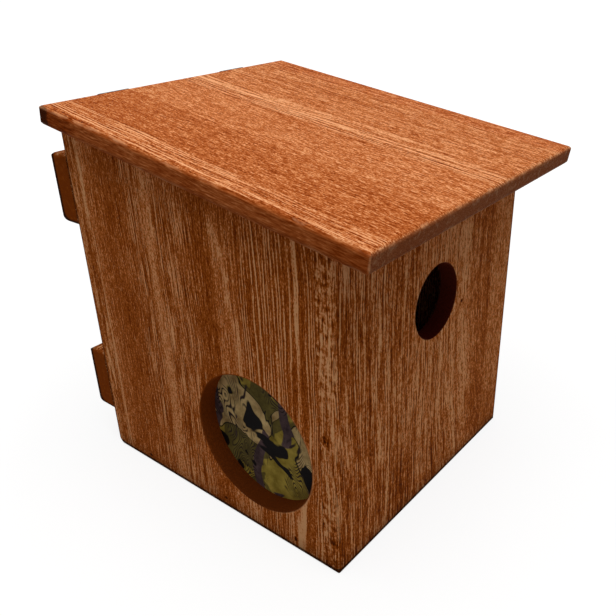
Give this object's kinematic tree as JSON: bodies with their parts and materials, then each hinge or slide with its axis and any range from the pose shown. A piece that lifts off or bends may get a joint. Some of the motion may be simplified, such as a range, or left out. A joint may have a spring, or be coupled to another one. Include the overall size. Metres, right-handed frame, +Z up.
{
  "type": "birdhouse",
  "caption": "Square timber birdhouse with a sloping hinged roof, a round entrance in front, a round side window closed by a printed sheet, and cleats on the back.",
  "frame": {"origin": "middle of the underside of the box, between its four outer faces; the roof's and the cleats' overhangs don't count", "axes": "+Z up; the entrance faces -Y, the cleats stand against a wall or trunk on the +Y side, and the window faces -X"},
  "size_m": [0.308, 0.3668, 0.3583],
  "materials": {
    "wall_timber": "reddish-brown stained open-grain boards, satin",
    "roof_timber": "reddish-brown stained edge-glued staves, satin",
    "cleat_timber": "darker stained battens, satin",
    "floor_timber": "stained board, matt",
    "dowel_beech": "bare beech dowels",
    "camouflage_print": null,
    "hinge_steel": "dark painted steel, worn at the edges",
    "hinge_screws": "blackened steel screws",
    "bright_screws": "zinc-plated screws"
  },
  "bodies": {
    "box": {"front_panel": "wall_timber", "back_panel": "wall_timber", "left_side_panel": "wall_timber", "right_side_panel": "wall_timber", "floor_panel": "floor_timber", "upper_cleat": "cleat_timber", "lower_cleat": "cleat_timber", "window_sheet": "camouflage_print", "window_sheet_screws": "bright_screws", "left_lower_leaf": "hinge_steel", "right_lower_leaf": "hinge_steel", "left_hinge_pin": "hinge_steel", "right_hinge_pin": "hinge_steel", "lower_leaf_screws": "hinge_screws", "upper_cleat_screws": "bright_screws", "lower_cleat_screws": "bright_screws", "front_dowels": "dowel_beech", "back_dowels": "dowel_beech", "floor_dowels": "dowel_beech"},
    "roof": {"roof_panel": "roof_timber", "left_upper_leaf": "hinge_steel", "right_upper_leaf": "hinge_steel", "upper_leaf_screws": "hinge_screws"}
  },
  "joints": [
    {"name": "roof_hinge", "type": "hinge", "parent": "box", "child": "roof", "pos_m": [0, 0.1539, 0.33699], "axis": [-1, 0, 0], "range_deg": [0, 98]}
  ]
}
